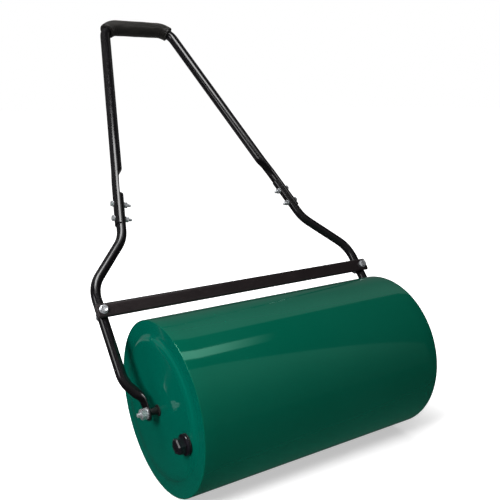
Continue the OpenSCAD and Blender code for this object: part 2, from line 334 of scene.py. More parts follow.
def settle(piece):
    """Applies a piece's modifiers to its mesh."""
    bpy.context.view_layer.update()
    graph = bpy.context.evaluated_depsgraph_get()
    mesh = bpy.data.meshes.new_from_object(piece.evaluated_get(graph))
    piece.modifiers.clear()
    piece.data = mesh
    shade(mesh)


def use(piece, node, material):
    """Shows the piece in place of a CAD node."""
    piece.data.materials.clear()
    piece.data.materials.append(material)
    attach(piece, BODY_OF[node])
    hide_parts(node)
    return piece


# ---------------------------------------------------------------- paths in the plane
def bent_path(corners, bends, spacing=6.0, arc_step=math.radians(3)):
    """Points and headings along a path of straight runs and round bends.

    Gives (point, heading, length from the start) for each station.
    """
    pts = [Vector(c) for c in corners]
    stations = []
    length = 0.0
    cursor = pts[0]

    def run(to, heading):
        nonlocal cursor, length
        span = (to - cursor).length
        if span < 1e-6:
            return
        count = max(1, int(span / spacing))
        first = 0 if not stations else 1
        for k in range(first, count + 1):
            p = cursor.lerp(to, k / count)
            stations.append((p, heading, length + span * k / count))
        cursor = to
        length += span

    for i in range(1, len(pts)):
        d = (pts[i] - pts[i - 1]).normalized()
        heading = math.atan2(d.y, d.x)
        if i == len(pts) - 1:
            run(pts[i], heading)
            break
        e = (pts[i + 1] - pts[i]).normalized()
        swing = math.atan2(d.x * e.y - d.y * e.x, d.dot(e))
        radius = bends[i]
        back = radius * math.tan(abs(swing) / 2)
        run(pts[i] - d * back, heading)
        side = 1 if swing > 0 else -1
        centre = cursor + Vector((-d.y, d.x)) * radius * side
        spoke = cursor - centre
        count = max(2, int(abs(swing) / arc_step))
        for k in range(1, count + 1):
            t = swing * k / count
            p = centre + Vector((spoke.x * math.cos(t) - spoke.y * math.sin(t),
                                 spoke.x * math.sin(t) + spoke.y * math.cos(t)))
            stations.append((p, heading + t, length + radius * abs(swing) * k / count))
        cursor = stations[-1][0]
        length += radius * abs(swing)
    return stations


def smooth(t):
    t = min(1.0, max(0.0, t))
    return t * t * (3 - 2 * t)


def loop_on_plane(point, heading, section, side=1):
    """A loop of (out, n) points round a station. out is to the right of the heading."""
    out = Vector((math.sin(heading), -math.cos(heading)))
    return [on_plane(side * (point.x + out.x * a), point.y + out.y * a, n)
            for a, n in section]


# ---------------------------------------------------------------- materials
class Nodes:
    """Builds one Principled material, with points taken from the object's own frame."""

    def __init__(self, name):
        self.material = bpy.data.materials.new(name)
        self.material.use_nodes = True
        self.tree = self.material.node_tree
        self.shader = self.tree.nodes["Principled BSDF"]
        self.points = self.add("ShaderNodeTexCoord").outputs["Object"]

    def add(self, kind, **settings):
        node = self.tree.nodes.new(kind)
        for key, value in settings.items():
            setattr(node, key, value)
        return node

    def plug(self, value, socket):
        if hasattr(value, "is_output"):
            self.tree.links.new(value, socket)
        else:
            socket.default_value = value

    def set(self, **sockets):
        for key, value in sockets.items():
            self.plug(value, self.shader.inputs[key.replace("_", " ")])

    def stretched(self, factors):
        node = self.add("ShaderNodeMapping")
        self.plug(self.points, node.inputs["Vector"])
        node.inputs["Scale"].default_value = factors
        return node.outputs["Vector"]

    def noise(self, scale, detail=2.0, rough=0.5, points=None):
        node = self.add("ShaderNodeTexNoise")
        self.plug(points or self.points, node.inputs["Vector"])
        node.inputs["Scale"].default_value = scale
        node.inputs["Detail"].default_value = detail
        node.inputs["Roughness"].default_value = rough
        return node.outputs["Fac"]

    def cells(self, scale, points=None):
        node = self.add("ShaderNodeTexVoronoi")
        self.plug(points or self.points, node.inputs["Vector"])
        node.inputs["Scale"].default_value = scale
        return node.outputs["Distance"]

    def remap(self, value, low, high, to_low, to_high):
        node = self.add("ShaderNodeMapRange")
        self.plug(value, node.inputs["Value"])
        for key, number in zip(("From Min", "From Max", "To Min", "To Max"),
                               (low, high, to_low, to_high)):
            node.inputs[key].default_value = number
        return node.outputs["Result"]

    def mix(self, factor, a, b):
        node = self.add("ShaderNodeMix", data_type="RGBA")
        self.plug(factor, node.inputs[0])
        self.plug(a if hasattr(a, "is_output") else (*a, 1.0), node.inputs[6])
        self.plug(b if hasattr(b, "is_output") else (*b, 1.0), node.inputs[7])
        return node.outputs[2]

    def bump(self, height, distance, strength=1.0, under=None):
        node = self.add("ShaderNodeBump")
        self.plug(height, node.inputs["Height"])
        node.inputs["Distance"].default_value = distance
        node.inputs["Strength"].default_value = strength
        if under is not None:
            self.plug(under, node.inputs["Normal"])
        return node.outputs["Normal"]

    def edge_wear_and_hollow_shade(self, low, high):
        """With limits above a flat face's pointiness: 0 on open faces, rising to 1 on outward
        edges, for wear. With limits below it: 0 in hollows, where painted shade goes.
        """
        node = self.add("ShaderNodeNewGeometry")
        return self.remap(node.outputs["Pointiness"], low, high, 0.0, 1.0)


def green_paint(name, deep, pale, waves, stretch, depth, gloss):
    """Glossy stoved enamel on thin sheet: long soft waves and faint dust.

    Its shine is green like the paint, as the pigment reaches up to the surface.
    """
    m = Nodes(name)
    drift = m.noise(7.0, 3.0)
    speck = m.noise(420.0, 2.0)
    tone = m.mix(m.remap(drift, 0.35, 0.65, 0.0, 1.0), deep, pale)
    m.set(Base_Color=m.mix(m.remap(speck, 0.62, 0.74, 0.0, 0.02), tone, GREEN_DUST),
          Roughness=m.remap(m.noise(38.0, 4.0), 0.3, 0.7, 0.06, 0.09),
          IOR=1.9, Specular_IOR_Level=gloss, Specular_Tint=(0.3, 1.0, 0.7, 1.0),
          Coat_Weight=0.1, Coat_Roughness=0.05)
    wavy = m.bump(m.noise(waves, 1.0, 0.4, m.stretched(stretch)), depth)
    m.set(Normal=wavy, Coat_Normal=wavy)
    return m.material


def powder_coat(name, dark, light):
    """Smooth black powder coat with its fine peel and the odd rubbed edge."""
    m = Nodes(name)
    drift = m.remap(m.noise(26.0, 4.0), 0.3, 0.7, 0.0, 1.0)
    black = m.mix(drift, dark, light)
    m.set(Base_Color=m.mix(m.edge_wear_and_hollow_shade(0.56, 0.72), black, (0.05, 0.05, 0.052)),
          Roughness=m.remap(m.noise(90.0, 3.0), 0.3, 0.7, 0.16, 0.22),
          Specular_IOR_Level=0.4, Coat_Weight=0.2, Coat_Roughness=0.08,
          Normal=m.bump(m.noise(620.0, 2.0), 0.000004, 1.0,
                        m.bump(m.noise(60.0, 1.0), 0.00003, 1.0)))
    return m.material


def foam_skin(name):
    """Closed-cell foam: matt, pored, and greyed where hands rub it."""
    m = Nodes(name)
    blotch = m.remap(m.noise(34.0, 4.0, 0.6), 0.32, 0.68, 0.0, 1.0)
    pores = m.cells(900.0)
    fine = m.noise(1500.0, 2.0)
    base = m.mix(blotch, (0.0058, 0.0052, 0.0047), (0.0105, 0.0093, 0.0082))
    m.set(Base_Color=m.mix(m.remap(pores, 0.0, 0.35, 0.6, 0.0), base, (0.008, 0.008, 0.008)),
          Roughness=m.remap(fine, 0.3, 0.7, 0.42, 0.55),
          Specular_IOR_Level=0.55, Sheen_Weight=0.12, Sheen_Roughness=0.45,
          Normal=m.bump(fine, 0.0002, 0.4, m.bump(pores, 0.0003, 0.5)))
    m.shader.inputs["Sheen Tint"].default_value = (0.9, 0.86, 0.8, 1.0)
    return m.material


def bright_zinc(name):
    """Bright zinc plating: bluish, slightly clouded, with painted shade darkening its corners and
    hollows.
    """
    m = Nodes(name)
    cloud = m.remap(m.noise(190.0, 4.0, 0.6), 0.3, 0.7, 0.0, 1.0)
    plate = m.mix(cloud, (0.66, 0.68, 0.71), (0.84, 0.86, 0.89))
    # painted shade: the hollows take the dark grey in place of the plating
    m.set(Base_Color=m.mix(m.edge_wear_and_hollow_shade(0.44, 0.50), (0.3, 0.3, 0.31), plate),
          Metallic=0.8,
          Roughness=m.remap(m.noise(340.0, 3.0), 0.3, 0.7, 0.2, 0.36),
          Normal=m.bump(m.noise(1100.0, 2.0), 0.00008, 0.4))
    return m.material


def moulded(name, dark, light, rough_low, rough_high, grain=800.0):
    """A moulded black plastic or rubber with a fine grain."""
    m = Nodes(name)
    drift = m.remap(m.noise(60.0, 3.0), 0.3, 0.7, 0.0, 1.0)
    m.set(Base_Color=m.mix(drift, dark, light),
          Roughness=m.remap(m.noise(150.0, 3.0), 0.3, 0.7, rough_low, rough_high),
          Specular_IOR_Level=0.5,
          Normal=m.bump(m.noise(grain, 2.0), 0.0001, 0.5))
    return m.material


GREEN_DUST = (0.02, 0.15, 0.11)

SHELL_PAINT = green_paint("shell_paint", (0.0, 0.081, 0.0485), (0.001, 0.085, 0.0515),
                          4.0, (0.35, 1.0, 1.0), 0.0011, 0.5)
DISC_PAINT = green_paint("disc_paint", (0.0, 0.081, 0.0545), (0.0, 0.085, 0.0575),
                         14.0, (1.0, 1.0, 1.0), 0.00028, 0.3)
FRAME_PAINT = powder_coat("frame_paint", (0.0032, 0.0029, 0.0034), (0.0062, 0.0057, 0.0066))
BAR_PAINT = powder_coat("bar_paint", (0.0115, 0.0088, 0.0095), (0.0165, 0.0128, 0.0135))
FOAM = foam_skin("grip_foam")
ZINC = bright_zinc("bright_zinc")
PLUG_PLASTIC = moulded("plug_plastic", (0.005, 0.0045, 0.006), (0.009, 0.008, 0.011), 0.1, 0.17)
SPACER_PLASTIC = moulded("spacer_plastic", (0.006, 0.006, 0.006), (0.011, 0.011, 0.011), 0.45, 0.6)
BUSH_PLASTIC = moulded("bush_plastic", (0.008, 0.008, 0.008), (0.014, 0.014, 0.014), 0.4, 0.55)
SEAL_RUBBER = moulded("seal_rubber", (0.005, 0.005, 0.005), (0.011, 0.0105, 0.010), 0.6, 0.8, 500.0)


# ---------------------------------------------------------------- handle tubes
HALF_LOOP = 32                        # points on each half of a tube's section


def round_section(radius):
    return [(radius * math.cos(TAU * (i + 0.5) / (2 * HALF_LOOP)),
             radius * math.sin(TAU * (i + 0.5) / (2 * HALF_LOOP)))
            for i in range(2 * HALF_LOOP)]


def spaced(outline, count):
    """Points evenly spaced along an open line."""
    lengths = [0.0]
    for a, b in zip(outline, outline[1:]):
        lengths.append(lengths[-1] + math.dist(a, b))
    out = []
    k = 0
    for i in range(count):
        want = lengths[-1] * (i + 0.5) / count
        while lengths[k + 1] < want:
            k += 1
        t = (want - lengths[k]) / (lengths[k + 1] - lengths[k])
        out.append(tuple(outline[k][j] + t * (outline[k + 1][j] - outline[k][j])
                         for j in (0, 1)))
    return out


def mirrored_section(half):
    return half + [(a, -n) for a, n in reversed(half)]


def moon_section(shrink=0.0):
    """The half-moon that a tube pressed double makes; shrink eases its end."""
    outer = SHOE_OUT_R - shrink
    inner = SHOE_IN_R + shrink
    middle = (outer + inner) / 2
    edge = (outer - inner) / 2
    spread = SHOE_SPREAD - shrink / middle
    line = [(outer * math.cos(spread * k / 40), outer * math.sin(spread * k / 40))
            for k in range(41)]
    tip = Vector((middle * math.cos(spread), middle * math.sin(spread)))
    line += [(tip.x + edge * math.cos(spread + math.pi * k / 12),
              tip.y + edge * math.sin(spread + math.pi * k / 12)) for k in range(1, 12)]
    line += [(inner * math.cos(spread * k / 40), inner * math.sin(spread * k / 40))
             for k in range(40, -1, -1)]
    return mirrored_section(spaced(line, HALF_LOOP))


def flat_section(thick, width):
    """A flat oval, thick across the arm and width along N."""
    r = min(thick, width) / 2
    straight = max(0.0, width / 2 - r)
    line = [(thick / 2, straight * k / 12) for k in range(13)]
    line += [(thick / 2 * math.cos(math.pi * k / 16), straight + r * math.sin(math.pi * k / 16))
             for k in range(1, 16)]
    line += [(-thick / 2, straight * k / 12) for k in range(12, -1, -1)]
    return mirrored_section(spaced(line, HALF_LOOP))


def blended(a, b, t):
    return [(p[0] + t * (q[0] - p[0]), p[1] + t * (q[1] - p[1])) for p, q in zip(a, b)]


def pair_cap(bm, ring):
    """Closes a flat or half-moon end: each outer point is tied to the inner one behind it."""
    n = HALF_LOOP
    for i in range(n // 2 - 1):
        bm.faces.new((ring[i], ring[i + 1], ring[n - 2 - i], ring[n - 1 - i]))
        j = 2 * n - 1 - i
        bm.faces.new((ring[j], ring[j - 1], ring[n + 1 + i], ring[n + i]))
    bm.faces.new((ring[0], ring[2 * n - 1], ring[n], ring[n - 1]))


def make_upper_handle():
    low = leg_point(SHOE[0])
    path = bent_path([low, CORNER, (-CORNER[0], CORNER[1]), (-low.x, low.y)],
                     [0, CORNER_BEND, CORNER_BEND, 0], spacing=4.0)
    total = path[-1][2]
    moon = moon_section()
    tube = round_section(UPPER_R)
    loops = []
    for point, heading, along in path:
        s = SHOE[0] + min(along, total - along)
        if s <= SHOE[1]:
            section = moon
        elif s < SHOE[2]:
            t = (s - SHOE[1]) / (SHOE[2] - SHOE[1])
            section = blended(moon, tube, 0.15 * smooth(t) + 0.85 * t)
        else:
            section = tube
        loops.append(loop_on_plane(point, heading, section))
    eased = 0.35
    for index in (0, -1):
        point, heading, _ = path[index]
        inward = Vector((math.cos(heading), math.sin(heading))) * (eased if index == 0 else -eased)
        loops[index] = loop_on_plane(point + inward, heading, moon)
        end = loop_on_plane(point, heading, moon_section(eased))
        loops = [end] + loops if index == 0 else loops + [end]
    bm = bmesh.new()
    rings = add_skin(bm, loops)
    pair_cap(bm, rings[0])
    pair_cap(bm, rings[-1])
    piece = new_piece("upper_handle_tube", bm)
    for side in (-1, 1):
        for s in JOINT_AT:
            drill(piece, joint_matrix(side, s), M6.hole_r, -20, 20)
    use(piece, "upper_handle", FRAME_PAINT)


def joint_matrix(side, s):
    """Joint bolt axis at s on a leg, pointing outwards."""
    at = leg_point(s)
    out = Vector((math.cos(LEG_TILT), math.sin(LEG_TILT)))
    return axes_matrix(on_plane(side * at.x, at.y),
                       ACROSS * side * out.x + UP_PLANE * out.y, FRONT)


def make_lower_arm(side, name):
    tip_v = -FOOT_W / 2
    top = leg_point(ARM_TOP)
    path = bent_path([(FOOT[0], tip_v), FOOT, JOG, HIP, KNEE, top],
                     [0, FOOT_BEND, JOG_BEND, ARM_BEND, ARM_BEND, 0], spacing=3.0,
                     arc_step=math.radians(2.5))
    tube = round_section(LOWER_R)
    flat_to = FOOT[1] - tip_v - 9.0  # where the tube starts to round out, from the tip
    round_from = flat_to + 27.0      # and where it is round
    loops = []
    for v in (0.0, 0.25, 0.9, 2.0, 3.6, 5.8, 8.4, 11.2):      # up the arm's round tip
        half = math.sqrt((FOOT_W / 2) ** 2 - (FOOT_W / 2 - v) ** 2) if v else 1.6
        thick = FOOT_T if v > 0.3 else (FOOT_T - 0.1 if v else FOOT_T - 0.7)
        loops.append(loop_on_plane(Vector((FOOT[0], tip_v + v)), math.pi / 2,
                                   flat_section(thick, 2 * half), side))
    for point, heading, along in path:
        if along < FOOT_W / 2 - 1e-6:
            continue
        if along < flat_to:
            section = flat_section(FOOT_T, FOOT_W)
        elif along < round_from:
            t = smooth((along - flat_to) / (round_from - flat_to))
            thick = FOOT_T + (2 * LOWER_R - FOOT_T) * t
            width = FOOT_W + (2 * LOWER_R - FOOT_W) * t
            section = blended(flat_section(thick, width), tube, t)
        else:
            section = tube
        loops.append(loop_on_plane(point, heading, section, side))
    end, heading, _ = path[-1]
    back = Vector((math.cos(heading), math.sin(heading)))
    bore = LOWER_R - TUBE_WALL
    loops[-1] = loop_on_plane(end - back * 0.25, heading, tube, side)
    loops.append(loop_on_plane(end, heading, round_section(LOWER_R - 0.25), side))
    loops.append(loop_on_plane(end, heading, round_section(bore + 0.2), side))
    loops.append(loop_on_plane(end - back * 0.2, heading, round_section(bore), side))
    for depth in (4.0, 10.0, 60.0):  # nobody sees further into the tube than this
        loops.append(loop_on_plane(end - back * depth, heading, round_section(bore), side))
    bm = bmesh.new()
    rings = add_skin(bm, loops)
    pair_cap(bm, rings[0])
    last = rings[-1]
    for i in range(HALF_LOOP - 1):   # closes the bore's far end
        bm.faces.new((last[i], last[i + 1], last[-2 - i], last[-1 - i]))
    piece = new_piece(name + "_tube", bm)
    drill(piece, axes_matrix(on_plane(side * FOOT[0], 0), ACROSS, FRONT), M10.hole_r, -8, 8)
    for s in JOINT_AT:
        drill(piece, joint_matrix(side, s), M6.hole_r, -14, 14)
    drill(piece, bar_matrix(side), M8.hole_r, -14, 14)
    use(piece, name, FRAME_PAINT)


# ---------------------------------------------------------------- crossbar
def bar_bolt_u():
    share = (BAR_V - JOG[1]) / (HIP[1] - JOG[1])
    return JOG[0] + (HIP[0] - JOG[0]) * share


def bar_matrix(side):
    """Crossbar bolt axis, pointing out of the handle plane's front."""
    return axes_matrix(on_plane(side * bar_bolt_u(), BAR_V), FRONT, ACROSS)


def make_crossbar():
    middle = LOWER_R + BAR_T / 2

    def ring(u, shrink):
        r = BAR_T / 2 - shrink
        straight = (BAR_W - BAR_T) / 2
        loop = []
        for end in (1, -1):
            loop += [(end * straight * (k / 5 * 2 - 1), -end * r) for k in range(1, 5)]
            loop += [(end * (straight + r * math.cos(a)), end * r * math.sin(a))
                     for a in (math.pi * (k / 14 - 0.5) for k in range(15))]
        return [on_plane(u, BAR_V + v, middle + n) for v, n in loop]

    half = BAR_HALF
    inside = BAR_WALL
    stations = [-half + 0.35] + [-half + 0.35 + (2 * half - 0.7) * k / 60
                                 for k in range(1, 60)] + [half - 0.35]
    loops = [ring(-half, 0.35)] + [ring(u, 0.0) for u in stations] + [ring(half, 0.35)]
    loops += [ring(half, inside - 0.3), ring(half - 0.3, inside)]
    loops += [ring(-half + 0.3, inside), ring(-half, inside - 0.3)]
    bm = bmesh.new()
    add_skin(bm, loops, wrap=True)
    piece = new_piece("crossbar_tube", bm)
    for side in (-1, 1):
        drill(piece, bar_matrix(side), M8.hole_r, LOWER_R - 2, LOWER_R + BAR_T + 2)
    use(piece, "crossbar", BAR_PAINT)


# ---------------------------------------------------------------- fasteners
def bolt(bm, matrix, screw, end, grip_end, head_at):
    """Thread from end to grip_end, plain shank, then the head from head_at."""
    radius = screw.radius
    core = radius - screw.pitch * THREAD_DEPTH
    rings = [(core - 0.5, end), (core, end + 0.5)]
    rings += thread_rings(radius, screw.pitch, end + 0.5, grip_end,
                          fade_low=screw.pitch, fade_high=screw.pitch)
    rings += [(radius - 0.05, grip_end + 0.5), (radius - 0.05, head_at)]
    top = head_at + screw.head
    rings += hex_rings(screw.across, head_at, top, cone_low=False)
    crown = screw.across * CROWN
    rings += [(crown - 0.9, top), (crown - 1.5, top - 0.35), (crown * 0.3, top - 0.35)]
    turned(bm, matrix, rings)


def nut(bm, matrix, screw, low):
    high = low + screw.nut
    bore = screw.radius + 0.05
    rings = hex_rings(screw.across, low, high)
    rings += [(bore + 0.6, high), (bore, high - 0.6), (bore, low + 0.6), (bore + 0.6, low)]
    turned(bm, matrix, rings, wrap=True)


def spun(matrix, angle):
    """The same place with the part turned about its own axis."""
    return matrix @ Matrix.Rotation(math.radians(angle), 4, "Z")


def make_bolts(name, screw, places, head_at, nut_at, threaded, spare, ease):
    """Bolts that each hold a washer under the head and another under the nut.

    places gives each bolt's axis and how far its head and its nut are turned. The thread
    reaches threaded above the nut and spare below it.
    """
    bolts, nuts, washers = bmesh.new(), bmesh.new(), bmesh.new()
    for axis, head_turn, nut_turn in places:
        place = spun(axis, head_turn)
        bolt(bolts, place, screw, nut_at - screw.nut - spare, nut_at + threaded, head_at)
        nut(nuts, spun(axis, nut_turn), screw, nut_at - screw.nut)
        for low in (head_at - screw.washer_t, nut_at):
            washer(washers, place, screw.washer_r, screw.hole_r, low, low + screw.washer_t, ease)
    for part, bm in (("bolts", bolts), ("nuts", nuts), ("washers", washers)):
        use(new_piece(f"{name}_{part}_zinc", bm), f"{name}_{part}", ZINC)


def make_fasteners():
    make_bolts("crossbar", M8,
               [(bar_matrix(side), turn, turn + 17) for side, turn in ((-1, 12), (1, 41))],
               LOWER_R + BAR_T + M8.washer_t, -LOWER_R - M8.washer_t, 6, 3, 0.3)
    seats = [joint_matrix(side, s) for side in (-1, 1) for s in JOINT_AT]
    make_bolts("joint", M6, [(seat, turn, turn * 2) for seat, turn in zip(seats, (8, 33, 51, 22))],
               SHOE_OUT_R + M6.washer_t, -LOWER_R - M6.washer_t, 5, 7, 0.2)


# ---------------------------------------------------------------- axle
def end_matrix(side):
    """At the drum's centre, pointing out of one end."""
    return axes_matrix(AXLE, ACROSS * side, FRONT)


def make_axle():
    bm = bmesh.new()
    threaded = AXLE_HALF - PILOT_L
    start = FOOT_IN_X - 14.0         # the threads' inner ends
    pitch = M10.pitch
    rings = [(PILOT_R - 0.6, -AXLE_HALF), (PILOT_R, -AXLE_HALF + 0.6), (PILOT_R, -threaded - 0.3)]
    rings += thread_rings(M10.radius, pitch, -threaded, -start, fade_low=0.5, fade_high=pitch)
    rings += [(M10.radius, -start + 0.5), (M10.radius, start - 0.5)]
    rings += thread_rings(M10.radius, pitch, start, threaded, fade_low=pitch, fade_high=0.5)
    rings += [(PILOT_R, threaded + 0.3), (PILOT_R, AXLE_HALF - 0.6), (PILOT_R - 0.6, AXLE_HALF)]
    turned(bm, end_matrix(1), rings, points=48)
    use(new_piece("axle_rod_steel", bm), "axle_rod", ZINC)

    spacers, washers, nuts = bmesh.new(), bmesh.new(), bmesh.new()
    for side, turn in ((-1, 20), (1, 47)):
        place = end_matrix(side)
        seat = FOOT_OUT_X + M10.washer_t
        washer(spacers, place, 6.5, M10.hole_r, PANEL_X + 2.5, FOOT_IN_X, 0.4)
        washer(washers, place, M10.washer_r, M10.hole_r, FOOT_OUT_X, seat)
        nut(nuts, spun(place, turn), M10, seat)
        flange = [(BUSH_BORE_R, PANEL_X - 24), (9.0, PANEL_X - 24), (9.0, PANEL_X),
                  (10.1, PANEL_X), (10.5, PANEL_X + 0.4), (10.5, PANEL_X + 1.6),
                  (10.1, PANEL_X + 2.0), (BUSH_BORE_R + 0.4, PANEL_X + 2.0),
                  (BUSH_BORE_R, PANEL_X + 1.6)]
        bush = bmesh.new()
        lathe(bush, flange, place, 64)
        name = "bearing_bush_" + ("left" if side < 0 else "right")
        use(new_piece(name + "_flanged", bush), name, BUSH_PLASTIC)
    use(new_piece("axle_spacers_black", spacers), "axle_spacers", SPACER_PLASTIC)
    use(new_piece("axle_washers_zinc", washers), "axle_washers", ZINC)
    use(new_piece("axle_nuts_zinc", nuts), "axle_nuts", ZINC)


# ---------------------------------------------------------------- foam grip
def make_grip():
    """Foam sleeve round the top bar and most of both corner bends."""
    turn = math.pi / 2 - LEG_TILT
    back = CORNER_BEND * math.tan(turn / 2)
    run_in = 90.0                    # straight leg that the path starts with
    low = leg_point(LEG_LENGTH - run_in)
    path = bent_path([low, CORNER, (-CORNER[0], CORNER[1]), (-low.x, low.y)],
                     [0, CORNER_BEND, CORNER_BEND, 0], spacing=2.0, arc_step=math.radians(1.0))
    skip = run_in - back + CORNER_BEND * turn * (1 - GRIP_COVER)
    total = path[-1][2]
    kept = [p for p in path if skip - 0.4 <= p[2] <= total - skip + 0.4]
    bore = UPPER_R + 0.15
    end_r = 3.2                      # rounding of the sleeve's cut ends
    count = 72

    def ring(station, radius, shift=0.0, skin=0.0):
        point, heading, along = station
        out = Vector((math.sin(heading), -math.cos(heading)))
        middle = point + Vector((math.cos(heading), math.sin(heading))) * shift
        bent = 0.0 if abs(heading - math.pi) < 0.03 else 1.0
        loop = []
        for i in range(count):
            a = TAU * (i + 0.5) / count
            inner = max(0.0, -math.cos(a)) ** 1.5
            wrinkle = 0.5 - 0.5 * math.cos(along * 0.9 + 0.6 * math.sin(a))
            lumps = noise.noise(Vector((along * 0.045, 2.5 * math.cos(a), 2.5 * math.sin(a))))
            r = radius + skin * (0.35 * lumps - 0.35 - 0.75 * bent * inner * wrinkle)
            loop.append(on_plane(middle.x + out.x * r * math.cos(a),
                                 middle.y + out.y * r * math.cos(a), r * math.sin(a)))
        return loop

    # radius and inset of the rings round a cut end's edge
    edge = [(GRIP_R - end_r * (1 - math.sin(a)), end_r * (1 - math.cos(a)))
            for a in (math.radians(d) for d in range(0, 91, 15))]
    outer = [s for s in kept if kept[0][2] + end_r + 1 < s[2] < kept[-1][2] - end_r - 1]
    inner = [s for s in kept if kept[0][2] + 2 < s[2] < kept[-1][2] - 2]
    loops = [ring(kept[0], r, inset, 0.5) for r, inset in edge]
    loops += [ring(s, GRIP_R, 0.0, 1.0) for s in outer]
    loops += [ring(kept[-1], r, -inset, 0.5) for r, inset in reversed(edge)]
    loops += [ring(kept[-1], bore + 0.8), ring(kept[-1], bore, -0.8)]
    loops += [ring(s, bore) for s in reversed(inner)]
    loops += [ring(kept[0], bore, 0.8), ring(kept[0], bore + 0.8)]
    bm = bmesh.new()
    add_skin(bm, loops, wrap=True)
    piece = use(new_piece("grip_sleeve", bm, math.radians(60)), "foam_grip", FOAM)


# ---------------------------------------------------------------- drum
def ringed(outline, spacing):
    """Adds points to the long straight sides of a closed outline."""
    out = []
    for a, b in zip(outline, outline[1:] + outline[:1]):
        count = max(1, int((b - a).length / spacing))
        out += [a.lerp(b, k / count) for k in range(count)]
    return out


def disc_outline():
    """Half section of an end disc: centre panel, soft step, flat outer ring."""
    edge = PANEL_R + PANEL_SLOPE / 2
    step = []
    for r in [edge + 13.0 * k / 15 for k in range(-15, 16)]:
        fall = 0.7 * smooth((r - edge + 13) / 26) + 0.3 * smooth((r - edge + 2) / 4)
        step.append((r, PANEL_X - PANEL_RISE * fall))
    face = [(SLEEVE_R, PANEL_X)] + step + [(DRUM_R - SHELL_T - 0.4, RING_X),
                                           (DRUM_R - SHELL_T, RING_X - 0.4)]
    back = [(r, x - DISC_T) for r, x in [(DRUM_R - SHELL_T, RING_X)] + step[::-1]]
    return [Vector(p) for p in face + back + [(SLEEVE_R, PANEL_X - DISC_T)]]


def make_drum():
    bm = bmesh.new()
    outline = rounded([(DRUM_R - SHELL_T, -DRUM_HALF, 0.6), (DRUM_R, -DRUM_HALF, 0.8),
                       (DRUM_R, DRUM_HALF, 0.8), (DRUM_R - SHELL_T, DRUM_HALF, 0.6)], 5)
    lathe(bm, ringed(outline, 25.0), end_matrix(1), 288)
    use(new_piece("drum_shell_sheet", bm), "drum_shell", SHELL_PAINT)
    for side, name in ((-1, "drum_end_left"), (1, "drum_end_right")):
        bm = bmesh.new()
        lathe(bm, ringed(disc_outline(), 8.0), end_matrix(side), 288)
        disc = new_piece(name + "_disc", bm)
        if side < 0:
            drill(disc, filler_matrix(), NECK_R, -8, 3)
        use(disc, name, DISC_PAINT)
    bm = bmesh.new()
    outline = rounded([(SLEEVE_R - 2, -PANEL_X, 0.5), (SLEEVE_R, -PANEL_X, 0.3),
                       (SLEEVE_R, PANEL_X, 0.3), (SLEEVE_R - 2, PANEL_X, 0.5)], 3)
    lathe(bm, ringed(outline, 40.0), end_matrix(1), 64)
    use(new_piece("axle_sleeve_tube", bm), "axle_sleeve", DISC_PAINT)


# ---------------------------------------------------------------- filler
def make_filler():
    place = filler_matrix()
    bm = bmesh.new()
    bore = PLUG_R + 0.05
    groove = thread_rings(bore + PLUG_PITCH * THREAD_DEPTH, PLUG_PITCH, -16.6, -1.4, 1.2, 1.2)
    rings = [(NECK_R - 0.3, -18), (NECK_R, -17.7), (NECK_R, -0.3), (NECK_R - 0.3, 0),
             (bore + 0.6, 0), (bore, -0.6)] + groove[::-1] + [(bore, -17.4), (bore + 0.6, -18)]
    turned(bm, place, rings, wrap=True, points=96)
    use(new_piece("filler_neck_ring", bm), "filler_neck", DISC_PAINT)

    bm = bmesh.new()
    washer(bm, place, PLUG_FLANGE_R, PLUG_R + 0.25, 0, 3, 0.9)
    use(new_piece("plug_seal_ring", bm), "plug_seal", SEAL_RUBBER)

    bm = bmesh.new()
    r = PLUG_FLANGE_R
    core = PLUG_R - PLUG_PITCH * THREAD_DEPTH
    rings = [(core - 1.2, -10), (core, -9.2)]
    rings += thread_rings(PLUG_R, PLUG_PITCH, -9.2, 1.0, fade_low=1.0, fade_high=1.0)
    rings += [(core, 3.0), (r - 0.6, 3.0), (r, 3.5), (r, 5.9), (r - 0.35, 6.6), (r - 1.1, 7.0),
              (PLUG_HEX / math.sqrt(3) + 0.9, 7.0)]
    rings += [hexagon(PLUG_HEX, inset, z) for inset, z in ((EASE, 7.0), (0.0, 7.0 + EASE),
                                                           (0.0, 18.8), (2.2, 21.0))]
    rings += [(9.6, 21.0), (8.8, 20.3), (5.0, 20.3)]
    turned(bm, spun(place, -22), rings, points=96)
    use(new_piece("filler_plug_moulded", bm), "filler_plug", PLUG_PLASTIC)


make_upper_handle()
make_lower_arm(-1, "lower_arm_left")
make_lower_arm(1, "lower_arm_right")
make_crossbar()
make_fasteners()
make_axle()
make_grip()
make_drum()
make_filler()


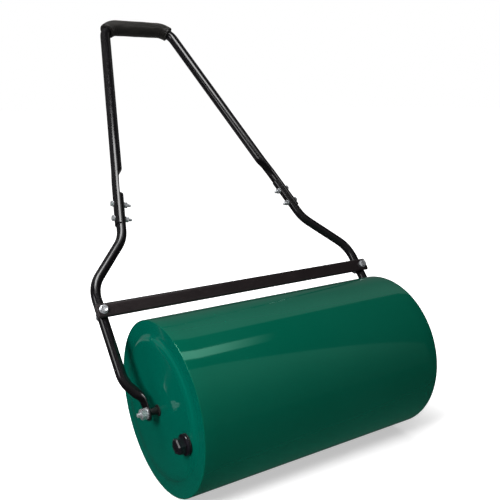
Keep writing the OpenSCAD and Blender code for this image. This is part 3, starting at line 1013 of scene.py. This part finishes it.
# ---------------------------------------------------------------- studio
def studio_shader(name, colour, glow, soft_x=None, rise=None, around=None):
    """Matt surface of the studio, with a steady glow of its own.

    soft_x changes the glow between two X values, rise between two Z values, and around
    between two distances from the strip of floor under the drum.
    """
    material = bpy.data.materials.new(name)
    material.use_nodes = True
    tree = material.node_tree
    shader = tree.nodes["Principled BSDF"]
    shader.inputs["Base Color"].default_value = (*colour, 1.0)
    shader.inputs["Roughness"].default_value = 1.0
    shader.inputs["Specular IOR Level"].default_value = 0.0
    shader.inputs["Emission Color"].default_value = (1.0, 1.0, 1.0, 1.0)
    shader.inputs["Emission Strength"].default_value = glow
    limits = soft_x or rise or around
    if limits:
        place = tree.nodes.new("ShaderNodeNewGeometry")
        ramp = tree.nodes.new("ShaderNodeMapRange")
        ramp.interpolation_type = "SMOOTHSTEP"
        value = place.outputs["Position"]
        if around:
            strip = (DRUM_HALF * MM, 0.04, 9.0)      # heights don't count
            for kind, amount in (("SUBTRACT", AXLE), ("ABSOLUTE", None), ("SUBTRACT", strip),
                                 ("MAXIMUM", (0.0, 0.0, 0.0)), ("LENGTH", None)):
                step = tree.nodes.new("ShaderNodeVectorMath")
                step.operation = kind
                tree.links.new(value, step.inputs[0])
                if amount is not None:
                    step.inputs[1].default_value = amount
                value = step.outputs["Value" if kind == "LENGTH" else "Vector"]
        else:
            split = tree.nodes.new("ShaderNodeSeparateXYZ")
            tree.links.new(value, split.inputs[0])
            value = split.outputs["X" if soft_x else "Z"]
        tree.links.new(value, ramp.inputs["Value"])
        for key, number in zip(("From Min", "From Max", "To Min", "To Max"), limits):
            ramp.inputs[key].default_value = number
        tree.links.new(ramp.outputs["Result"], shader.inputs["Emission Strength"])
    return material


def studio_sheet(name, corners, colour=(0.0, 0.0, 0.0), glow=0.0, camera=False, diffuse=False,
                 glossy=False, **ramp):
    """A flat sheet of the studio, seen only by the kinds of ray that are named."""
    material = studio_shader(name, colour, glow, **ramp)
    if not diffuse:
        # such a sheet lights nothing, and drawn as a light it would only add noise
        material.cycles.emission_sampling = "NONE"
    bm = bmesh.new()
    bm.faces.new([bm.verts.new(c) for c in corners])
    mesh = bpy.data.meshes.new(name)
    bm.to_mesh(mesh)
    bm.free()
    mesh.materials.append(material)
    sheet = bpy.data.objects.new(name, mesh)
    bpy.context.scene.collection.objects.link(sheet)
    sheet.visible_camera = camera
    sheet.visible_diffuse = diffuse
    sheet.visible_glossy = glossy
    sheet.visible_shadow = False


def level(x0, x1, y0, y1, z):
    return [(x0, y0, z), (x1, y0, z), (x1, y1, z), (x0, y1, z)]


def area_light(name, place, target, size, power):
    light = bpy.data.lights.new(name, "AREA")
    light.shape = "RECTANGLE"
    light.size, light.size_y = size
    light.energy = power
    lamp = bpy.data.objects.new(name, light)
    lamp.location = place
    lamp.rotation_mode = "QUATERNION"
    lamp.rotation_quaternion = (Vector(target) - Vector(place)).to_track_quat("-Z", "Y")
    lamp.visible_camera = False
    lamp.visible_glossy = False
    bpy.context.scene.collection.objects.link(lamp)


def make_studio():
    # The floor's glow is dimmer close to the drum. The grey there is the lamps' real shadow
    # together with this painted shade, and further out the floor glows white.
    studio_sheet("floor", level(-30, 30, -30, 30, 0), (0.8, 0.8, 0.8), camera=True,
                 around=(0.03, 0.26, 0.42, 1.1))
    studio_sheet("floor_bounce", level(-4, 4, -4, 4, 0), (0.35, 0.35, 0.35), 0.1, diffuse=True)
    studio_sheet("near_bounce", level(-0.25, 0.4, -0.46, -0.27, 0.001), glow=1.4, diffuse=True)
    studio_sheet("floor_sheen", level(-4, 4, -1.45, 0.85, 0), glossy=True,
                 soft_x=(-0.45, -0.15, 0.0, 0.03))
    studio_sheet("far_floor", level(-4, 5, 0.85, 1.6, 0), glow=0.2, glossy=True)

    studio_sheet("front_card", [(-4, -1.8, -0.6), (1.84, -1.8, -0.6), (1.55, -1.8, 3.4),
                                (-4, -1.8, 3.4)],
                 diffuse=True, glossy=True, rise=(0.0, 2.2, 0.05, 0.2))
    studio_sheet("back_card", [(-2, 1.6, 0.0), (5, 1.6, 0.0), (5, 1.6, 1.62), (-2, 1.6, 1.62)],
                 diffuse=True, glossy=True, rise=(0.0, 0.3, 0.2, 0.09))
    studio_sheet("ceiling_card", [(-2, 1.7, 1.66), (5, 1.7, 1.66), (5, 0.45, 2.3),
                                  (-2, 0.45, 2.3)],
                 diffuse=True, glossy=True, rise=(1.66, 2.3, 0.1, 0.22))
    studio_sheet("strip_light", level(-0.8, 1.0, -0.66, -0.31, 1.9), diffuse=True, glossy=True,
                 soft_x=(0.5, 1.0, 1.4, 0.0))

    studio_sheet("side_card", [(-1.95, -0.75, 1.0), (-1.95, 0.1, 1.0), (-1.75, 0.1, 1.6),
                               (-1.75, -0.75, 1.6)], glow=4.0, glossy=True)
    studio_sheet("left_strip", [(-0.86, -0.27, 1.89), (-0.13, -0.59, 1.89),
                                (0.11, -0.09, 1.89), (-0.62, 0.23, 1.89)],
                 glossy=True, soft_x=(-0.15, 0.08, 11.0, 1.5))

    aim = (0.0, AXLE.y, 0.2)
    area_light("key", (-1.65, AXLE.y - 0.77, 1.37), aim, (0.6, 0.6), 52)
    area_light("top", (-1.0, 0.1, 2.0), aim, (0.8, 0.8), 20)
    area_light("rear", (0.4, 1.7, 1.7), aim, (1.0, 0.6), 18)

    world = bpy.data.worlds.new("studio")
    world.use_nodes = True
    bpy.context.scene.world = world
    tree = world.node_tree
    path = tree.nodes.new("ShaderNodeLightPath")
    sky = tree.nodes["Background"]
    pick = tree.nodes.new("ShaderNodeMapRange")
    tree.links.new(path.outputs["Is Camera Ray"], pick.inputs["Value"])
    pick.inputs["To Min"].default_value = 0.02
    pick.inputs["To Max"].default_value = 1.0
    tree.links.new(pick.outputs["Result"], sky.inputs["Strength"])
    sky.inputs["Color"].default_value = (1.0, 1.0, 1.0, 1.0)


def make_camera():
    """The photograph's viewpoint, off the drum's centre and shifted to its framing."""
    data = bpy.data.cameras.new("camera")
    data.sensor_width = 36.0
    data.lens = 48.226
    data.shift_x = -0.024
    data.shift_y = 0.15
    data.clip_start = 0.05
    data.clip_end = 100.0
    camera = bpy.data.objects.new("camera", data)
    camera.location = AXLE + Vector((-0.7093, -0.9796, 0.5208))
    camera.rotation_euler = (math.radians(90 - 18.92), 0.0, math.radians(-34.05))
    bpy.context.scene.collection.objects.link(camera)
    bpy.context.scene.camera = camera


make_studio()
make_camera()
bpy.context.scene.view_settings.view_transform = "Standard"
